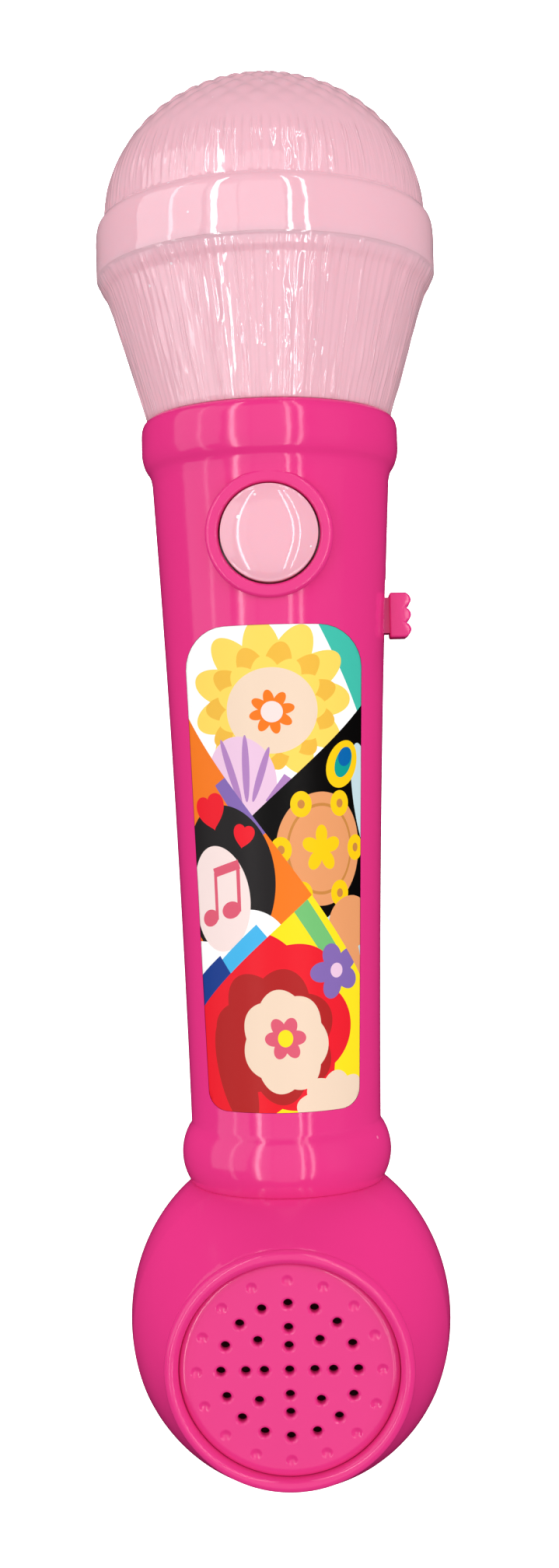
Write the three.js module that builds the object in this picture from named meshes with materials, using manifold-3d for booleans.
// Toy microphone: a hand-held electronic toy with a light-up head, a tune button,
// a slide switch and a loudspeaker in the round foot of the handle.
// Millimetres. +Z runs along the handle towards the head, -Y is the front with the
// button, the sticker and the speaker, +X is the side with the slide switch.
// The origin lies on the handle's axis, where a hand holds it.
import * as THREE from 'three';
import { mergeVertices } from 'three/addons/utils/BufferGeometryUtils.js';
import Module from 'manifold-3d';

const wasm = await Module();
wasm.setup();

// ---- Clearances and walls -------------------------------------------------
const GAP = 0.3;                  // air left between pieces that touch
const WALL = 2.2;                 // shells of the handle and foot
const HEAD_WALL = 1.8;            // moulded head
const ROUND = 36;                 // sides of the large turned pieces
const MEDIUM = 24;                // sides of the middle-sized round pieces
const SMALL = 12;                 // sides of screws, posts and lamps

// ---- Handle: a slow taper with a collar above and a bead below ----------------
const HANDLE_LOW_Z = -57;
const HANDLE_LOW_RADIUS = 16.05;
const HANDLE_MID_RADIUS = 17.65;
const HANDLE_HIGH_Z = 51;
const HANDLE_HIGH_RADIUS = 20.05;
const COLLAR_PROUD = 1.65;
const COLLAR_HEIGHT = 10.3;
const COLLAR_RADIUS = HANDLE_HIGH_RADIUS + COLLAR_PROUD;
const COLLAR_TOP = HANDLE_HIGH_Z + COLLAR_HEIGHT;
const BEAD_HALF = 4.9;
const BEAD_PROUD = 1.55;
const BEAD_Z = HANDLE_LOW_Z - BEAD_HALF;

// ---- Foot: a spheroid that holds the speaker, met by the neck under the bead ----
const FOOT_RADIUS = 26.8;
const FOOT_HALF_HEIGHT = 28.4;
const NECK_CREASE_RADIUS = HANDLE_LOW_RADIUS + 0.15;
const FOOT_RISE = FOOT_HALF_HEIGHT * Math.sqrt(1 - (NECK_CREASE_RADIUS / FOOT_RADIUS) ** 2);
const FOOT_Z = BEAD_Z - BEAD_HALF - FOOT_RISE;

// ---- Reach of the cutting solids: safely beyond the toy ------------------------
const REACH = FOOT_RADIUS * 1.5;
const BELOW_ALL = FOOT_Z - REACH;

// ---- Head: cone, smooth band and dome ---------------------------------------
const CONE_LOW_RADIUS = COLLAR_RADIUS - 1;
const CONE_HEIGHT = 18.8;
const BAND_RADIUS = 28.6;
const CONE_HIGH_RADIUS = BAND_RADIUS - 2.4;
const BAND_STEP = 4.6;            // height of the rounded step from cone to band
const BAND_LOW = 0.4;             // band height that belongs to the cone
const BAND_HIGH = 9.5;            // band height that belongs to the dome
const DOME_RADIUS = BAND_RADIUS - 1.4;
const DOME_HEIGHT = 23.8;
const SPIGOT_HEIGHT = 4;
const NECK_RADIUS = HANDLE_HIGH_RADIUS - 2.55;
const NECK_WALL = 2;
const NECK_BORE = NECK_RADIUS - NECK_WALL;
const NECK_FLANGE_RADIUS = NECK_RADIUS + 1.4;
const NECK_FLANGE_THICK = 2.4;
const NECK_FLANGE_DROP = 8;       // flange underside below the collar's top

// ---- Speaker face, in its own tilted frame ----------------------------------
const FACE_INSET = 5;             // the face lies this far inside the foot's front
const FACE_DROP = 3.3;            // and this far below the foot's middle
const FACE_Y = FACE_INSET - FOOT_RADIUS;
const FACE_Z = FOOT_Z - FACE_DROP;
const FACE_TILT = 5.5;            // degrees, the face looks slightly down
const FACE_RADIUS = 17.6;
const FACE_THICK = 1.6;
const RIM_WIDTH = 2.3;
const RIM_RADIUS = FACE_RADIUS + RIM_WIDTH;
const RIM_PROUD = 1.2;
const BOSS_BACK_RADIUS = RIM_RADIUS + 3.5;
const BOSS_DEPTH = 14;
const LEDGE_WIDTH = 2.3;
const LEDGE_RADIUS = FACE_RADIUS - LEDGE_WIDTH;
const LEDGE_THICK = 1.7;
const HOLE_RADIUS = 0.75;
const HOLE_RINGS = [[0, 1], [0.227, 4], [0.395, 8], [0.62, 16]];   // share of the face, holes
const DIMPLE_RING = 0.837;        // share of the face's radius
const DIMPLE_COUNT = 16;
const DIMPLE_DEPTH = 0.45;

// ---- Loudspeaker -------------------------------------------------------------
const SPEAKER_RADIUS = LEDGE_RADIUS + 1.3;
const SPEAKER_DEPTH = 6;          // from the basket's front to its back
const MAGNET_RADIUS = 9;
const MAGNET_THICK = 4.6;

// ---- Push button --------------------------------------------------------------
const BUTTON_Z = HANDLE_HIGH_Z - 11;
const BUTTON_RADIUS = 7.85;
const BUTTON_GAP = 0.45;
const BUTTON_DOME = 1.5;
const BUTTON_PROUD = 0.5;
const BUTTON_FLANGE = 1.45;       // flange beyond the cap's side
const BEZEL_WIDTH = 1.95;
const BEZEL_RADIUS = BUTTON_RADIUS + BUTTON_GAP + BEZEL_WIDTH;
const BEZEL_PROUD = 0.6;
const BEZEL_DEPTH = 4.6;
const BUTTON_WELL_Y = -5;         // the button's bore ends here, behind its flange

// ---- Slide switch --------------------------------------------------------------
const SWITCH_Z = 28;
const SWITCH_TRAVEL = 3;
const TAB_LENGTH = 7.5;
const TAB_WIDTH = 6;
const TAB_PROUD = 4.7;
const TAB_RIDGES = 3;
const TAB_NECK_LENGTH = 6;
const TAB_NECK_WIDTH = 4.4;
const TAB_RIDGE_DEPTH = 1;
const TAB_FLANGE_THICK = 1;
const TAB_FLANGE_LIP = 2;         // flange beyond the neck, across
const LEVER_SIZE = 1.6;
const SWITCH_ROOM = 1.2;          // between the flange and the switch body
const SWITCH_BODY_DEPTH = 3.6;
const SWITCH_BODY_HALF_WIDTH = 2.6;
const SWITCH_BODY_HALF_LENGTH = 6;

// ---- Sticker --------------------------------------------------------------------
const LABEL_LOW = HANDLE_LOW_Z + 4;
const LABEL_HIGH = 25.5;
const LABEL_HALF_ANGLE = 50;      // degrees round the handle from the front
const LABEL_TOP_CORNER = 6.6;
const LABEL_LOW_CORNER = 3;
const LABEL_THICK = 0.4;
const LABEL_SUNK = 0.05;

// ---- Batteries, their bay and the door ----------------------------------------------
const CELL_RADIUS = 5.25;
const CELL_LENGTH = 44.5;
const CELL_SPACING = 2 * CELL_RADIUS + 0.4;
const CELL_FLOOR_Y = -0.65;       // the cells rest this far in front of the axis
const CELL_Y = CELL_FLOOR_Y + CELL_RADIUS;
const SPRING_ROOM = 6.5;
const BAY_LOW = HANDLE_LOW_Z + 7;
const BAY_HIGH = BAY_LOW + CELL_LENGTH + SPRING_ROOM;
const BAY_WALL = 1.5;
const CONTACT_THICK = 0.4;
const CONTACT_HALF = 3.8;
const COIL_WIRE = 0.3;
const DOOR_HALF_WIDTH = CELL_SPACING / 2 + CELL_RADIUS + 1.3;
const DOOR_LOW = BAY_LOW - 1.2;
const DOOR_HIGH = BAY_HIGH + 9;
const DOOR_THICK = 1.8;
const DOOR_LEDGE = 1.3;
const DOOR_SCREW_Z = DOOR_HIGH - 4;
const DOOR_SCREW_SUNK = 1.1;      // depth of the round seat for its head

// ---- Circuit board ----------------------------------------------------------------
const BOARD_HALF_WIDTH = 9;
const BOARD_LOW = BAY_HIGH + 5;
const BOARD_HIGH = HANDLE_HIGH_Z - 3;
const BOARD_FRONT_Y = -8.6;
const BOARD_THICK = 1.6;
const CHIP_RADIUS = 3.4;
const CHIP_HEIGHT = 1.2;
const CHIP_PLACE = [1.5, 26];     // x and z on the board
const CAPACITOR_RADIUS = 2.2;
const CAPACITOR_LENGTH = 7;
const CAPACITOR_PLACE = [-5, 34];

// ---- Screws: two in the foot and two under the collar ---------------------------------
const FOOT_SCREW_X = 15;
const FOOT_SCREW_Z = FOOT_Z + 11.4;
const COLLAR_SCREW_X = 12.6;
const COLLAR_SCREW_Z = HANDLE_HIGH_Z - 4;
const SCREW_PLACES = [
  [-FOOT_SCREW_X, FOOT_SCREW_Z],
  [FOOT_SCREW_X, FOOT_SCREW_Z],
  [-COLLAR_SCREW_X, COLLAR_SCREW_Z],
  [COLLAR_SCREW_X, COLLAR_SCREW_Z],
];
const SCREW_SHANK_RADIUS = 1.2;
const SCREW_HEAD_RADIUS = 2.5;
const SCREW_HEAD_HEIGHT = 1.7;
const SCREW_SEAT_Y = 8;
const SCREW_TIP_Y = -7;
const POST_WALL = 0.9;

const WIRE_RADIUS = 0.6;

// ---- Materials ---------------------------------------------------------------------------
function finish(color, roughness, metalness = 0) {
  return new THREE.MeshStandardMaterial({ color, roughness, metalness });
}
const hotPink = () => finish(0xe9387f, 0.3);
const palePink = () => finish(0xf7bfcf, 0.25);
const white = () => finish(0xf4f2ec, 0.5);
const steel = () => finish(0xc4c6c8, 0.35, 0.9);
const black = () => finish(0x1c1c1e, 0.6);
const boardGreen = () => finish(0x1f6b45, 0.55);
const rubberGrey = () => finish(0xb9bcc0, 0.8);

// ---- Helpers: closed geometry to solid and back ---------------------------------------------
function signedVolume(position, triangles) {
  const a = new THREE.Vector3();
  const b = new THREE.Vector3();
  const c = new THREE.Vector3();
  let sum = 0;
  for (let i = 0; i < triangles.length; i += 3) {
    a.fromBufferAttribute(position, triangles[i]);
    b.fromBufferAttribute(position, triangles[i + 1]);
    c.fromBufferAttribute(position, triangles[i + 2]);
    sum += a.dot(b.cross(c)) / 6;
  }
  return sum;
}

function solid(geometry) {
  const bare = geometry.clone();
  bare.deleteAttribute('normal');
  bare.deleteAttribute('uv');
  const merged = mergeVertices(bare, 1e-4);
  const index = merged.index.array;
  const triangles = [];
  for (let i = 0; i < index.length; i += 3) {
    const [a, b, c] = index.slice(i, i + 3);
    if (a !== b && b !== c && c !== a) triangles.push(a, b, c);
  }
  if (signedVolume(merged.attributes.position, triangles) < 0) triangles.reverse();
  return new wasm.Manifold(new wasm.Mesh({
    numProp: 3,
    vertProperties: new Float32Array(merged.attributes.position.array),
    triVerts: new Uint32Array(triangles),
  }));
}

function geometryOf(body) {
  const mesh = body.getMesh();
  const geometry = new THREE.BufferGeometry();
  geometry.setAttribute('position', new THREE.BufferAttribute(mesh.vertProperties, 3));
  geometry.setIndex(new THREE.BufferAttribute(mesh.triVerts, 1));
  geometry.computeVertexNormals();
  return geometry;
}

const join = (...bodies) => bodies.reduce((sum, body) => sum.add(body));
const cut = (body, ...tools) => tools.reduce((rest, tool) => rest.subtract(tool), body);
const meet = (a, b) => a.intersect(b);

// A turned solid about Z from points of [radius, z] that go once round its section.
function turned(points, sides = ROUND) {
  const outline = points.map(([r, z]) => new THREE.Vector2(r, z));
  const onAxis = points[0][0] === 0 && points.at(-1)[0] === 0;
  if (!onAxis) outline.push(outline[0].clone());
  const geometry = new THREE.LatheGeometry(outline, sides);
  geometry.rotateX(Math.PI / 2);
  return solid(geometry);
}

function block(low, high) {
  const size = high.map((value, axis) => value - low[axis]);
  const geometry = new THREE.BoxGeometry(...size);
  geometry.translate(...high.map((value, axis) => (value + low[axis]) / 2));
  return solid(geometry);
}

// A round bar along Y between two heights, at x and z.
function barY(radius, yLow, yHigh, x, z, sides = SMALL) {
  const geometry = new THREE.CylinderGeometry(radius, radius, yHigh - yLow, sides);
  geometry.translate(x, (yLow + yHigh) / 2, z);
  return solid(geometry);
}

function discZ(radius, zLow, zHigh, sides = MEDIUM) {
  return turned([[0, zLow], [radius, zLow], [radius, zHigh], [0, zHigh]], sides);
}

function tube(points, radius, steps, sides = 6) {
  const ring = new THREE.Shape();
  for (let i = 0; i < sides; i += 1) {
    const angle = (i / sides) * 2 * Math.PI;
    const [x, y] = [radius * Math.cos(angle), radius * Math.sin(angle)];
    if (i === 0) ring.moveTo(x, y);
    else ring.lineTo(x, y);
  }
  ring.closePath();
  const extrudePath = new THREE.CatmullRomCurve3(points);
  return solid(new THREE.ExtrudeGeometry(ring, { steps, extrudePath, bevelEnabled: false }));
}

const group = new THREE.Group();

function place(name, body, material, parent = group) {
  const mesh = new THREE.Mesh(geometryOf(body), material);
  mesh.name = name;
  parent.add(mesh);
  return mesh;
}

// ---- Outlines --------------------------------------------------------------------------------
// A parabola through the three stated radii gives the handle's slow taper.
function handleRadius(z) {
  const low = HANDLE_LOW_RADIUS - HANDLE_MID_RADIUS;
  const high = HANDLE_HIGH_RADIUS - HANDLE_MID_RADIUS;
  const bend = (high / HANDLE_HIGH_Z - low / HANDLE_LOW_Z) / (HANDLE_HIGH_Z - HANDLE_LOW_Z);
  const slope = low / HANDLE_LOW_Z - bend * HANDLE_LOW_Z;
  return HANDLE_MID_RADIUS + slope * z + bend * z * z;
}

// Points up an ellipse from its lower pole to the height where it reaches a radius.
function footArc(radius, halfHeight, neckRadius, steps) {
  const end = Math.PI - Math.asin(neckRadius / radius);
  const points = [];
  for (let i = 0; i <= steps; i += 1) {
    const angle = (end * i) / steps;
    const r = i === 0 ? 0 : radius * Math.sin(angle);
    points.push([r, FOOT_Z - halfHeight * Math.cos(angle)]);
  }
  return points;
}

function handleLine(zLow, zHigh, inset, steps) {
  const points = [];
  for (let i = 0; i <= steps; i += 1) {
    const z = zLow + ((zHigh - zLow) * i) / steps;
    points.push([handleRadius(z) - inset, z]);
  }
  return points;
}

function beadArc(steps) {
  const points = [];
  for (let i = 1; i < steps; i += 1) {
    const t = (2 * i) / steps - 1;
    points.push([HANDLE_LOW_RADIUS + 0.1 + BEAD_PROUD * (1 - t * t), BEAD_Z + t * BEAD_HALF]);
  }
  return points;
}

function outerOutline() {
  const shoulder = (COLLAR_RADIUS - HANDLE_HIGH_RADIUS) / 3;
  return [
    ...footArc(FOOT_RADIUS, FOOT_HALF_HEIGHT, NECK_CREASE_RADIUS, 12),
    ...beadArc(6),
    ...handleLine(HANDLE_LOW_Z, HANDLE_HIGH_Z, 0, 5),
    [HANDLE_HIGH_RADIUS + shoulder, HANDLE_HIGH_Z + 1.8],
    [COLLAR_RADIUS - shoulder, HANDLE_HIGH_Z + 2.8],
    [COLLAR_RADIUS, HANDLE_HIGH_Z + 4.3],
    [COLLAR_RADIUS, COLLAR_TOP - 1.8],
    [COLLAR_RADIUS - 0.3, COLLAR_TOP - 0.4],
    [COLLAR_RADIUS - 0.8, COLLAR_TOP],
    [0, COLLAR_TOP],
  ];
}

const FLANGE_LOW = COLLAR_TOP - NECK_FLANGE_DROP;

function innerOutline() {
  const neck = HANDLE_LOW_RADIUS - WALL;
  const groove = NECK_FLANGE_RADIUS + GAP;
  const bore = NECK_RADIUS + GAP;
  return [
    ...footArc(FOOT_RADIUS - WALL, FOOT_HALF_HEIGHT - WALL, neck, 8),
    ...handleLine(HANDLE_LOW_Z, FLANGE_LOW - GAP, WALL, 3),
    [groove, FLANGE_LOW - GAP],
    [groove, FLANGE_LOW + NECK_FLANGE_THICK + GAP],
    [bore, FLANGE_LOW + NECK_FLANGE_THICK + GAP],
    [bore, COLLAR_TOP + 1],
    [0, COLLAR_TOP + 1],
  ];
}

// ---- Speaker frame: local +Z points out of the face ---------------------------------------------
const faceTurn = new THREE.Matrix4()
  .makeTranslation(0, FACE_Y, FACE_Z)
  .multiply(new THREE.Matrix4().makeRotationX(Math.PI / 2 + THREE.MathUtils.degToRad(FACE_TILT)));

const onFace = (body) => body.transform(faceTurn.elements);

// A point beside the speaker: across, up the face and out of the face.
const facePoint = (across, up, out) => new THREE.Vector3(across, up, out).applyMatrix4(faceTurn);

const LEDGE_Z = -FACE_THICK - GAP;
const LEDGE_BACK = LEDGE_Z - LEDGE_THICK;

function faceBoss() {
  const crest = (FACE_RADIUS + RIM_RADIUS) / 2;
  return onFace(turned([
    [0, -BOSS_DEPTH],
    [BOSS_BACK_RADIUS, -BOSS_DEPTH],
    [RIM_RADIUS, -2.4],
    [RIM_RADIUS, 0],
    [RIM_RADIUS - 0.35, RIM_PROUD * 0.7],
    [crest, RIM_PROUD],
    [FACE_RADIUS + 0.35, RIM_PROUD * 0.7],
    [FACE_RADIUS, 0],
    [0, 0],
  ]));
}

function speakerSeatWall() {
  const inner = SPEAKER_RADIUS + GAP;
  return onFace(turned([
    [inner, LEDGE_BACK + 0.4],
    [inner, LEDGE_BACK - 3],
    [inner + 1.4, LEDGE_BACK - 3],
    [inner + 1.4, LEDGE_BACK + 0.4],
  ], MEDIUM));
}

// ---- Shells -----------------------------------------------------------------------------------------
// A wall of the handle between two depths under its surface, over a range of heights.
function handleWall(zLow, zHigh, outerInset, innerInset, steps = 5) {
  return turned([
    ...handleLine(zLow, zHigh, outerInset, steps),
    ...handleLine(zLow, zHigh, innerInset, steps).reverse(),
  ]);
}

function labelPrism(grow) {
  const sine = Math.sin(THREE.MathUtils.degToRad(LABEL_HALF_ANGLE));
  const [low, high] = [LABEL_LOW - grow, LABEL_HIGH + grow];
  const lowHalf = handleRadius(low) * sine + grow;
  const highHalf = handleRadius(high) * sine + grow;
  const [c, d] = [LABEL_LOW_CORNER, LABEL_TOP_CORNER];
  const outline = new THREE.Shape();
  outline.moveTo(-lowHalf + c, low);
  outline.lineTo(lowHalf - c, low);
  outline.quadraticCurveTo(lowHalf, low, lowHalf, low + c);
  outline.lineTo(highHalf, high - d);
  outline.quadraticCurveTo(highHalf, high, highHalf - d, high);
  outline.lineTo(-highHalf + d, high);
  outline.quadraticCurveTo(-highHalf, high, -highHalf, high - d);
  outline.lineTo(-lowHalf, low + c);
  outline.quadraticCurveTo(-lowHalf, low, -lowHalf + c, low);
  const geometry = new THREE.ExtrudeGeometry(outline, {
    depth: HANDLE_HIGH_RADIUS + 2, bevelEnabled: false, curveSegments: 4,
  });
  geometry.rotateX(Math.PI / 2);
  return solid(geometry);
}

const boreFor = (radius) => radius + GAP;

function frontPosts(outer) {
  const bore = boreFor(SCREW_SHANK_RADIUS);
  const posts = SCREW_PLACES.map(([x, z]) => barY(bore + POST_WALL, -FOOT_RADIUS, 0, x, z));
  return meet(join(...posts), outer);
}

function rearPosts(outer) {
  const recess = boreFor(SCREW_HEAD_RADIUS);
  const posts = SCREW_PLACES.map(([x, z]) => barY(recess + POST_WALL, 0, FOOT_RADIUS, x, z));
  return meet(join(...posts), outer);
}

const bezelY = () => -handleRadius(BUTTON_Z) - BEZEL_PROUD;
const bezelBackY = () => bezelY() + BEZEL_DEPTH;

function switchSlot() {
  const [halfLength, halfWidth] = [TAB_NECK_LENGTH / 2 + GAP, TAB_NECK_WIDTH / 2 + GAP];
  return block(
    [HANDLE_LOW_RADIUS - 4, -halfWidth, SWITCH_Z - halfLength],
    [HANDLE_HIGH_RADIUS + 2, halfWidth, SWITCH_Z + halfLength + SWITCH_TRAVEL],
  );
}

// The bezel's inner face is flat, so that the button's flange stops squarely on it.
function bezelInside() {
  return barY(BEZEL_RADIUS, bezelY() + 1, bezelBackY(), 0, BUTTON_Z, MEDIUM);
}

// The space before and behind the parting plane; each shell keeps to its own side.
const frontHalf = () => block(
  [-REACH, -REACH, BELOW_ALL], [REACH, -GAP / 2, COLLAR_TOP + REACH]);
const rearHalf = () => block(
  [-REACH, GAP / 2, BELOW_ALL], [REACH, REACH, COLLAR_TOP + REACH]);

function frontShell() {
  const outer = turned(outerOutline());
  const behindFace = onFace(discZ(FOOT_RADIUS * 1.2, LEDGE_BACK, FOOT_RADIUS));
  const cavity = cut(turned(innerOutline()), behindFace);
  const bezel = barY(BEZEL_RADIUS, bezelY(), bezelBackY(), 0, BUTTON_Z, MEDIUM);
  const whole = cut(join(outer, faceBoss(), bezel), cavity);
  const half = meet(whole, frontHalf());
  const ribs = meet(frontPosts(outer), frontHalf());
  const buttonBore = barY(BUTTON_RADIUS + BUTTON_GAP, -FOOT_RADIUS, BUTTON_WELL_Y, 0, BUTTON_Z, MEDIUM);
  const flangeRoom = barY(
    BUTTON_RADIUS + BUTTON_FLANGE + GAP, bezelBackY(), BUTTON_WELL_Y, 0, BUTTON_Z, MEDIUM);
  const screwBores = SCREW_PLACES.map(([x, z]) => barY(
    boreFor(SCREW_SHANK_RADIUS), SCREW_TIP_Y - GAP, 1, x, z));
  const faceRecess = onFace(discZ(FACE_RADIUS, LEDGE_Z, FOOT_RADIUS, ROUND));
  const ledgeBore = onFace(discZ(LEDGE_RADIUS, LEDGE_BACK - 2, 0));
  const speakerPocket = onFace(discZ(SPEAKER_RADIUS + GAP, LEDGE_BACK - 7, LEDGE_BACK));
  const labelRecess = meet(
    handleWall(LABEL_LOW - 2, LABEL_HIGH + 2, -1, LABEL_THICK + GAP + LABEL_SUNK), labelPrism(GAP));
  const body = cut(
    join(half, ribs, bezelInside(), speakerSeatWall()),
    buttonBore, flangeRoom, faceRecess, ledgeBore, speakerPocket, labelRecess, switchSlot(),
    ...screwBores,
  );
  return body;
}

function doorBlock(grow) {
  return block(
    [-DOOR_HALF_WIDTH - grow, 0, DOOR_LOW - grow],
    [DOOR_HALF_WIDTH + grow, FOOT_RADIUS, DOOR_HIGH + grow],
  );
}

function rearShell() {
  const outer = turned(outerOutline());
  const half = meet(cut(outer, turned(innerOutline())), rearHalf());
  const posts = meet(rearPosts(outer), rearHalf());
  const ledgeDepth = DOOR_THICK + GAP + DOOR_LEDGE;
  const ledge = meet(
    handleWall(DOOR_LOW - 2, DOOR_HIGH + 2, 1, ledgeDepth),
    block([-DOOR_HALF_WIDTH - 2, 5, DOOR_LOW - 2], [DOOR_HALF_WIDTH + 2, 30, DOOR_HIGH + 2]),
  );
  const doorPost = barY(
    boreFor(SCREW_SHANK_RADIUS) + POST_WALL, 7, handleRadius(DOOR_SCREW_Z) - DOOR_THICK - 1,
    0, DOOR_SCREW_Z);
  const doorRecess = meet(
    handleWall(DOOR_LOW - 1, DOOR_HIGH + 1, -2, DOOR_THICK + GAP), doorBlock(GAP));
  const bayWindow = block(
    [-DOOR_HALF_WIDTH + 1, 0.5, BAY_LOW - GAP], [DOOR_HALF_WIDTH - 1, 30, BAY_HIGH + GAP]);
  const tools = [doorRecess, bayWindow, switchSlot()];
  tools.push(barY(boreFor(SCREW_SHANK_RADIUS), 4, 30, 0, DOOR_SCREW_Z));
  for (const [x, z] of SCREW_PLACES) {
    tools.push(barY(boreFor(SCREW_SHANK_RADIUS), -1, SCREW_SEAT_Y + 1, x, z));
    tools.push(barY(boreFor(SCREW_HEAD_RADIUS), SCREW_SEAT_Y, FOOT_RADIUS + 1, x, z));
  }
  return cut(join(half, posts, ledge, doorPost), ...tools);
}

// ---- Head -----------------------------------------------------------------------------------------------
const CONE_LOW = COLLAR_TOP + GAP;
const CONE_HIGH = CONE_LOW + CONE_HEIGHT;
const SEAM = CONE_HIGH + BAND_STEP + BAND_LOW;
const DOME_LOW = SEAM + GAP + BAND_HIGH;
const SHOULDER = CONE_LOW + 1.4;      // inner step that the lamp plate rests on

function headCone() {
  const spigot = BAND_RADIUS - HEAD_WALL - GAP;
  return turned([
    [NECK_BORE, FLANGE_LOW],
    [NECK_FLANGE_RADIUS, FLANGE_LOW],
    [NECK_FLANGE_RADIUS, FLANGE_LOW + NECK_FLANGE_THICK],
    [NECK_RADIUS, FLANGE_LOW + NECK_FLANGE_THICK],
    [NECK_RADIUS, CONE_LOW],
    [CONE_LOW_RADIUS, CONE_LOW],
    [CONE_HIGH_RADIUS, CONE_HIGH],
    [BAND_RADIUS - 1.6, CONE_HIGH + BAND_STEP * 0.45],
    [BAND_RADIUS - 0.9, CONE_HIGH + BAND_STEP * 0.7],
    [BAND_RADIUS, CONE_HIGH + BAND_STEP],
    [BAND_RADIUS, SEAM],
    [spigot, SEAM],
    [spigot, SEAM + SPIGOT_HEIGHT],
    [spigot - HEAD_WALL, SEAM + SPIGOT_HEIGHT],
    [CONE_HIGH_RADIUS - HEAD_WALL, CONE_HIGH],
    [CONE_LOW_RADIUS - HEAD_WALL + 0.4, SHOULDER],
    [NECK_BORE, SHOULDER],
  ]);
}

function headDome() {
  const steps = 7;
  const arc = (radius, height) => Array.from({ length: steps + 1 }, (_, i) => {
    const angle = (Math.PI / 2) * (i / steps);
    const r = i === steps ? 0 : radius * Math.cos(angle);
    return [r, DOME_LOW + height * Math.sin(angle)];
  });
  const skirt = BAND_RADIUS - HEAD_WALL;
  return turned([
    ...arc(DOME_RADIUS - HEAD_WALL, DOME_HEIGHT - HEAD_WALL).reverse(),
    [skirt, DOME_LOW - 2.5],
    [skirt, SEAM + GAP],
    [BAND_RADIUS, SEAM + GAP],
    [BAND_RADIUS, DOME_LOW - 4],
    [BAND_RADIUS - 0.3, DOME_LOW - 1.4],
    [BAND_RADIUS - 0.9, DOME_LOW - 0.4],
    ...arc(DOME_RADIUS, DOME_HEIGHT),
  ]);
}

// ---- Pieces of the head's lamp ------------------------------------------------------------------------------
const LAMP_PLATE_LOW = SHOULDER + GAP;
const LAMP_PLATE_THICK = 1.2;
const LAMP_RADIUS = 2.5;
const LAMP_FOOT_RADIUS = LAMP_RADIUS + 0.4;
const LAMP_BOARD_THICK = 1.4;

function lampReflector() {
  const top = LAMP_PLATE_LOW + LAMP_PLATE_THICK;
  const edge = CONE_LOW_RADIUS - HEAD_WALL - 0.6;
  const hole = LAMP_FOOT_RADIUS + GAP;
  return turned([
    [hole, LAMP_PLATE_LOW],
    [edge, LAMP_PLATE_LOW],
    [edge + 1.2, LAMP_PLATE_LOW + 5],
    [edge + 0.2, LAMP_PLATE_LOW + 5],
    [edge - 1.4, top + 0.4],
    [hole, top],
  ], MEDIUM);
}

function lamp() {
  const foot = LAMP_PLATE_LOW;
  return turned([
    [0, foot],
    [LAMP_FOOT_RADIUS, foot],
    [LAMP_FOOT_RADIUS, foot + 1],
    [LAMP_RADIUS, foot + 1],
    [LAMP_RADIUS, foot + 6],
    [LAMP_RADIUS * 0.7, foot + 7.8],
    [0, foot + 8.6],
  ], SMALL);
}

place('head_dome', headDome(), palePink());
place('head_cone', headCone(), palePink());
place('lamp_reflector', lampReflector(), white());
place('lamp_board', discZ(
  NECK_BORE - 2, LAMP_PLATE_LOW - GAP - LAMP_BOARD_THICK, LAMP_PLATE_LOW - GAP), boardGreen());
place('lamp', lamp(), finish(0xfdf3f6, 0.1));

place('front_shell', frontShell(), hotPink());
place('rear_shell', rearShell(), hotPink());

const labelWall = handleWall(
  LABEL_LOW - 1, LABEL_HIGH + 1, LABEL_SUNK, LABEL_THICK + LABEL_SUNK);
place('label', meet(labelWall, labelPrism(0)), finish(0x3ebda8, 0.4));

// ---- Loudspeaker and its face ---------------------------------------------------------------------------------
function speakerGrille() {
  let plate = discZ(FACE_RADIUS - GAP, -FACE_THICK, 0, ROUND);
  const pin = (x, y, low) => {
    const geometry = new THREE.CylinderGeometry(HOLE_RADIUS, HOLE_RADIUS, 4, 6);
    geometry.rotateX(Math.PI / 2);
    geometry.translate(x, y, low + 2);
    return solid(geometry);
  };
  const ring = (radius, count, low) => Array.from({ length: count }, (_, i) => {
    const angle = (2 * Math.PI * i) / count;
    return pin(radius * Math.cos(angle), radius * Math.sin(angle), low);
  });
  for (const [radius, count] of HOLE_RINGS) {
    plate = cut(plate, ...ring(radius * FACE_RADIUS, count, -FACE_THICK - 1));
  }
  return cut(plate, ...ring(DIMPLE_RING * FACE_RADIUS, DIMPLE_COUNT, -DIMPLE_DEPTH));
}

const BASKET_FRONT = LEDGE_BACK - GAP;
const BASKET_BACK = BASKET_FRONT - SPEAKER_DEPTH;

function speakerBasket() {
  return turned([
    [SPEAKER_RADIUS, BASKET_FRONT],
    [SPEAKER_RADIUS, BASKET_FRONT - 1],
    [SPEAKER_RADIUS - 1.8, BASKET_FRONT - 1],
    [MAGNET_RADIUS + 0.5, BASKET_BACK],
    [MAGNET_RADIUS / 2, BASKET_BACK],
    [MAGNET_RADIUS / 2, BASKET_BACK + 0.8],
    [MAGNET_RADIUS, BASKET_BACK + 0.8],
    [SPEAKER_RADIUS - 2.6, BASKET_FRONT - 0.7],
    [SPEAKER_RADIUS - 2.6, BASKET_FRONT],
  ], MEDIUM);
}

function speakerCone() {
  const rim = SPEAKER_RADIUS - 3.1;
  return turned([
    [0, BASKET_FRONT - 2.4],
    [2.6, BASKET_FRONT - 3],
    [3.6, BASKET_FRONT - 3.6],
    [rim - 1.1, BASKET_FRONT - 0.9],
    [rim, BASKET_FRONT - 0.3],
    [rim, BASKET_FRONT - 0.6],
    [rim - 1.1, BASKET_FRONT - 1.4],
    [3.8, BASKET_FRONT - 4.3],
    [0, BASKET_FRONT - 3],
  ].reverse(), MEDIUM);
}

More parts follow.
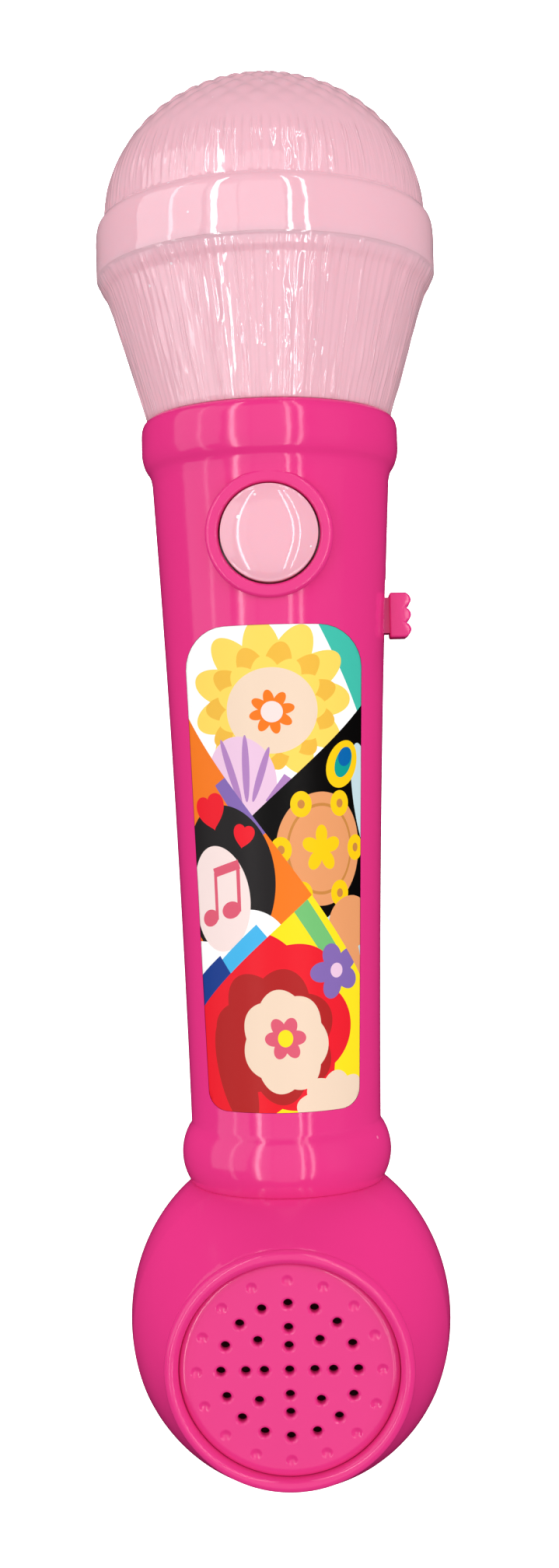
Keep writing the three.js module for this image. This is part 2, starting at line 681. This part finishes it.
place('speaker_grille', onFace(speakerGrille()), hotPink());
place('speaker_basket', onFace(speakerBasket()), steel());
place('speaker_cone', onFace(speakerCone()), black());
place('speaker_magnet', onFace(discZ(
  MAGNET_RADIUS, BASKET_BACK - GAP - MAGNET_THICK, BASKET_BACK - GAP)), steel());
place('speaker_retainer', onFace(turned([
  [SPEAKER_RADIUS - 1.5, BASKET_FRONT - 1 - GAP],
  [SPEAKER_RADIUS, BASKET_FRONT - 1 - GAP],
  [SPEAKER_RADIUS, BASKET_FRONT - 2.6],
  [SPEAKER_RADIUS - 1.5, BASKET_FRONT - 2.6],
], MEDIUM)), black());

// ---- Push button and its rubber dome ---------------------------------------------------------------------------
// Points are [radius, depth behind the bezel's front face].
function aboutButton(points, sides = MEDIUM) {
  const turnToY = new THREE.Matrix4()
    .makeTranslation(0, bezelY(), BUTTON_Z)
    .multiply(new THREE.Matrix4().makeRotationX(-Math.PI / 2));
  return turned(points, sides).transform(turnToY.elements);
}

const FLANGE_FRONT = BEZEL_DEPTH + GAP;
const FLANGE_BACK = FLANGE_FRONT + 1;
const DOME_FOOT = BOARD_FRONT_Y - GAP;
const DOME_CROWN = FLANGE_BACK + GAP;

function pushButton() {
  return aboutButton([
    [0, -BUTTON_PROUD - BUTTON_DOME],
    [BUTTON_RADIUS * 0.45, -BUTTON_PROUD - BUTTON_DOME * 0.8],
    [BUTTON_RADIUS * 0.8, -BUTTON_PROUD - BUTTON_DOME * 0.36],
    [BUTTON_RADIUS - 0.3, -BUTTON_PROUD],
    [BUTTON_RADIUS, -BUTTON_PROUD + 0.3],
    [BUTTON_RADIUS, FLANGE_FRONT],
    [BUTTON_RADIUS + BUTTON_FLANGE, FLANGE_FRONT],
    [BUTTON_RADIUS + BUTTON_FLANGE, FLANGE_BACK],
    [0, FLANGE_BACK],
  ]);
}

function buttonDome() {
  const foot = DOME_FOOT - bezelY();
  return aboutButton([
    [0, DOME_CROWN],
    [3, DOME_CROWN],
    [3.2, DOME_CROWN + 1.6],
    [5.4, foot - 0.8],
    [5.4, foot],
    [4.2, foot],
    [2.2, DOME_CROWN + 2.4],
    [0, DOME_CROWN + 1.6],
  ], 20);
}

place('push_button', pushButton(), palePink());
place('button_dome', buttonDome(), rubberGrey());

// ---- Slide switch: tab, lever and body ---------------------------------------------------------------------------
const tabSeatX = handleRadius(SWITCH_Z + SWITCH_TRAVEL + TAB_LENGTH / 2) + GAP;
const tabTopX = handleRadius(SWITCH_Z) + TAB_PROUD;
const tabFlangeX = Math.sqrt(
  (handleRadius(SWITCH_Z - 7) - WALL) ** 2 - (TAB_NECK_WIDTH / 2 + TAB_FLANGE_LIP) ** 2) - GAP;

// The grip's side outline has a scalloped top: ridges with round valleys between them.
function tabGrip() {
  const outline = new THREE.Shape();
  const half = TAB_LENGTH / 2;
  const pitch = TAB_LENGTH / TAB_RIDGES;
  outline.moveTo(tabSeatX, -half);
  outline.lineTo(tabTopX - TAB_RIDGE_DEPTH, -half);
  for (let i = 0; i < TAB_RIDGES; i += 1) {
    const start = -half + i * pitch;
    outline.quadraticCurveTo(
      tabTopX + 0.3, start + pitch / 2, tabTopX - TAB_RIDGE_DEPTH, start + pitch);
  }
  outline.lineTo(tabSeatX, half);
  outline.closePath();
  const geometry = new THREE.ExtrudeGeometry(outline, {
    depth: TAB_WIDTH, bevelEnabled: false, curveSegments: 4,
  });
  geometry.translate(0, 0, -TAB_WIDTH / 2);
  geometry.rotateX(Math.PI / 2);
  geometry.translate(0, 0, SWITCH_Z);
  return solid(geometry);
}

function switchTab() {
  const cover = (TAB_NECK_LENGTH + SWITCH_TRAVEL) / 2 + SWITCH_TRAVEL / 2 + 2 * GAP;
  const neck = block(
    [tabFlangeX - 0.5, -TAB_NECK_WIDTH / 2, SWITCH_Z - TAB_NECK_LENGTH / 2],
    [tabSeatX + 1, TAB_NECK_WIDTH / 2, SWITCH_Z + TAB_NECK_LENGTH / 2],
  );
  const flange = block(
    [tabFlangeX - TAB_FLANGE_THICK, -TAB_NECK_WIDTH / 2 - TAB_FLANGE_LIP, SWITCH_Z - cover],
    [tabFlangeX, TAB_NECK_WIDTH / 2 + TAB_FLANGE_LIP, SWITCH_Z + cover],
  );
  const socket = block(
    [tabFlangeX - 2, -LEVER_SIZE / 2 - GAP, SWITCH_Z - LEVER_SIZE / 2 - GAP],
    [tabFlangeX + 1, LEVER_SIZE / 2 + GAP, SWITCH_Z + LEVER_SIZE / 2 + GAP],
  );
  return cut(join(tabGrip(), neck, flange), socket);
}

const switchFaceX = tabFlangeX - TAB_FLANGE_THICK - SWITCH_ROOM;

function switchBody() {
  const centre = SWITCH_Z + SWITCH_TRAVEL / 2;
  const body = block(
    [switchFaceX - SWITCH_BODY_DEPTH, -SWITCH_BODY_HALF_WIDTH, centre - SWITCH_BODY_HALF_LENGTH],
    [switchFaceX, SWITCH_BODY_HALF_WIDTH, centre + SWITCH_BODY_HALF_LENGTH],
  );
  const groove = block(
    [switchFaceX - 1.6, -LEVER_SIZE / 2 - GAP, centre - LEVER_SIZE / 2 - SWITCH_TRAVEL / 2 - GAP],
    [switchFaceX + 1, LEVER_SIZE / 2 + GAP, centre + LEVER_SIZE / 2 + SWITCH_TRAVEL / 2 + GAP],
  );
  return cut(body, groove);
}

place('switch_tab', switchTab(), hotPink());
place('switch_lever', block(
  [switchFaceX - 1.2, -LEVER_SIZE / 2, SWITCH_Z - LEVER_SIZE / 2],
  [tabFlangeX + 0.6, LEVER_SIZE / 2, SWITCH_Z + LEVER_SIZE / 2],
), black());
place('switch_body', switchBody(), steel());

// ---- Circuit board and what is soldered to it -----------------------------------------------------------------------
const BOARD_BACK_Y = BOARD_FRONT_Y + BOARD_THICK;

function capacitor() {
  const [x, z] = CAPACITOR_PLACE;
  const geometry = new THREE.CylinderGeometry(
    CAPACITOR_RADIUS, CAPACITOR_RADIUS, CAPACITOR_LENGTH, SMALL);
  geometry.rotateX(Math.PI / 2);
  geometry.translate(x, BOARD_BACK_Y + GAP + CAPACITOR_RADIUS, z);
  return solid(geometry);
}

place('main_board', block(
  [-BOARD_HALF_WIDTH, BOARD_FRONT_Y, BOARD_LOW], [BOARD_HALF_WIDTH, BOARD_BACK_Y, BOARD_HIGH],
), boardGreen());
place('sound_chip', barY(
  CHIP_RADIUS, BOARD_BACK_Y + GAP, BOARD_BACK_Y + GAP + CHIP_HEIGHT, ...CHIP_PLACE, 18), black());
place('capacitor', capacitor(), finish(0x24345c, 0.4));

// ---- Battery bay ---------------------------------------------------------------------------------------------------
function batteryTray() {
  const inset = DOOR_THICK + DOOR_LEDGE + 2 * GAP;
  const inside = handleWall(BAY_LOW - 4, BAY_HIGH + 4, inset, HANDLE_MID_RADIUS - 3, 3);
  const hull = join(inside, discZ(6, BAY_LOW - 4, BAY_HIGH + 4));
  const floorY = CELL_FLOOR_Y - GAP;
  const reachX = HANDLE_MID_RADIUS;
  const floor = block(
    [-reachX, floorY - BAY_WALL, BAY_LOW - BAY_WALL], [reachX, floorY, BAY_HIGH + BAY_WALL]);
  const topWall = block(
    [-reachX, floorY - 0.5, BAY_HIGH], [reachX, CELL_Y + 2.6, BAY_HIGH + BAY_WALL]);
  const lowWall = block(
    [-reachX, floorY - 0.5, BAY_LOW - BAY_WALL], [reachX, CELL_Y + 2.6, BAY_LOW]);
  return meet(join(floor, topWall, lowWall), hull);
}

// A cell that stands between two heights, with its nub up or down.
function cell(zLow, nubUp) {
  const nub = 0.9;
  const can = CELL_LENGTH - nub;
  const body = turned([
    [0, 0],
    [CELL_RADIUS - 0.5, 0],
    [CELL_RADIUS, 0.5],
    [CELL_RADIUS, can - 0.6],
    [CELL_RADIUS - 0.6, can],
    [1.9, can],
    [1.9, CELL_LENGTH],
    [0, CELL_LENGTH],
  ], 16);
  const turn = new THREE.Matrix4();
  const x = (nubUp ? -1 : 1) * (CELL_SPACING / 2);
  turn.makeTranslation(x, CELL_Y, nubUp ? zLow : zLow + CELL_LENGTH);
  if (!nubUp) turn.multiply(new THREE.Matrix4().makeRotationX(Math.PI));
  return body.transform(turn.elements);
}

function contactPlate(x, z) {
  return block(
    [x - CONTACT_HALF, CELL_Y - CONTACT_HALF, z],
    [x + CONTACT_HALF, CELL_Y + CONTACT_HALF - 2, z + CONTACT_THICK],
  );
}

// A tapered coil that rises from a plate towards the cell's flat end.
function coil(x, zFoot, zTip) {
  const [turns, perTurn] = [4, 10];
  const points = [];
  for (let i = 0; i <= turns * perTurn; i += 1) {
    const t = i / (turns * perTurn);
    const angle = 2 * Math.PI * turns * t;
    const radius = 3.1 - 1.5 * t;
    const z = zFoot + (zTip - zFoot) * t;
    points.push(new THREE.Vector3(
      x + radius * Math.cos(angle), CELL_Y - 0.6 + radius * Math.sin(angle), z));
  }
  return tube(points, COIL_WIRE, turns * perTurn, 5);
}

const leftX = -CELL_SPACING / 2;
const rightX = CELL_SPACING / 2;
const topContactZ = BAY_HIGH - GAP - CONTACT_THICK;
const lowContactZ = BAY_LOW + GAP;
const leftCellLow = topContactZ - GAP - CELL_LENGTH;
const rightCellLow = lowContactZ + CONTACT_THICK + GAP;

place('battery_tray', batteryTray(), white());
place('battery_left', cell(leftCellLow, true), finish(0x3a3f4a, 0.35, 0.3));
place('battery_right', cell(rightCellLow, false), finish(0x3a3f4a, 0.35, 0.3));
place('contact_positive', contactPlate(leftX, topContactZ), steel());
place('contact_negative', join(
  contactPlate(rightX, topContactZ),
  coil(rightX, topContactZ + 0.2, rightCellLow + CELL_LENGTH + COIL_WIRE + GAP)), steel());
place('contact_bridge', join(
  block(
    [leftX - CONTACT_HALF, CELL_Y - CONTACT_HALF, lowContactZ],
    [rightX + CONTACT_HALF, CELL_Y + CONTACT_HALF - 2, lowContactZ + CONTACT_THICK]),
  coil(leftX, lowContactZ + 0.2, leftCellLow - COIL_WIRE - GAP)), steel());

function batteryDoor() {
  const wall = handleWall(DOOR_LOW - 1, DOOR_HIGH + 1, 0, DOOR_THICK);
  const faceY = handleRadius(DOOR_SCREW_Z);
  const plate = meet(wall, doorBlock(0));
  const seat = barY(boreFor(SCREW_HEAD_RADIUS), faceY - DOOR_SCREW_SUNK, faceY + 5, 0, DOOR_SCREW_Z);
  const hole = barY(boreFor(SCREW_SHANK_RADIUS), faceY - 5, faceY + 5, 0, DOOR_SCREW_Z);
  return cut(plate, seat, hole);
}

// A pan-head screw along Y with a cross slot in its head.
function screw(x, z, headBack, headHeight, tip) {
  const head = barY(SCREW_HEAD_RADIUS, headBack, headBack + headHeight, x, z);
  const shank = barY(SCREW_SHANK_RADIUS, tip, headBack + 0.5, x, z);
  const [long, wide] = [1.6, 0.35];
  const top = headBack + headHeight;
  const slotA = block([x - long, top - 0.6, z - wide], [x + long, top + 1, z + wide]);
  const slotB = block([x - wide, top - 0.6, z - long], [x + wide, top + 1, z + long]);
  return cut(join(head, shank), slotA, slotB);
}

place('battery_door', batteryDoor(), hotPink());
const doorScrewSeat = handleRadius(DOOR_SCREW_Z) - DOOR_SCREW_SUNK + GAP;
place('door_screw', screw(0, DOOR_SCREW_Z, doorScrewSeat, 1, 8.5), steel());

SCREW_PLACES.forEach(([x, z], i) => {
  place(`shell_screw_${i + 1}`,
    screw(x, z, SCREW_SEAT_Y + GAP, SCREW_HEAD_HEIGHT, SCREW_TIP_Y), steel());
});

// ---- Wires: a pair each for the speaker, the batteries and the lamp -----------------------------------------------------
const wireY = BOARD_BACK_Y + GAP + WIRE_RADIUS;
const wireKinds = { red: 0xc8242b, black: 0x202022 };

function wirePair(name, side, route) {
  Object.entries(wireKinds).forEach(([colour, hex], i) => {
    const points = route(i === 0 ? side : -side);
    place(`${name}_wire_${colour}`, tube(points, WIRE_RADIUS, 18), finish(hex, 0.5));
  });
}

wirePair('speaker', 1, (side) => [
  facePoint(side * 3, 12.5, BASKET_FRONT - 5),
  facePoint(side * 3, 16, BASKET_FRONT - 7.5),
  new THREE.Vector3(side * 3, -8, -66),
  new THREE.Vector3(side * 3, wireY, -50),
  new THREE.Vector3(side * 3, wireY, -20),
  new THREE.Vector3(side * 3, wireY, BOARD_LOW + 6),
]);
wirePair('battery', -1, (side) => [
  new THREE.Vector3(side * 6.4, 3, BAY_HIGH + BAY_WALL + GAP + WIRE_RADIUS + 0.2),
  new THREE.Vector3(side * 6.4, -2, BAY_HIGH + BAY_WALL + 2.4),
  new THREE.Vector3(side * 6.4, wireY + 0.6, BOARD_LOW + 3),
  new THREE.Vector3(side * 6.4, wireY, BOARD_LOW + 9),
]);
wirePair('lamp', 1, (side) => [
  new THREE.Vector3(side * 2, 2, LAMP_PLATE_LOW - 2 * GAP - LAMP_BOARD_THICK - 0.2),
  new THREE.Vector3(side * 2, 1, COLLAR_TOP - 4),
  new THREE.Vector3(side * 2, -3, BOARD_HIGH + 2),
  new THREE.Vector3(side * 2, wireY, BOARD_HIGH - 4),
  new THREE.Vector3(side * 2, wireY, BOARD_HIGH - 8),
]);

export default group;
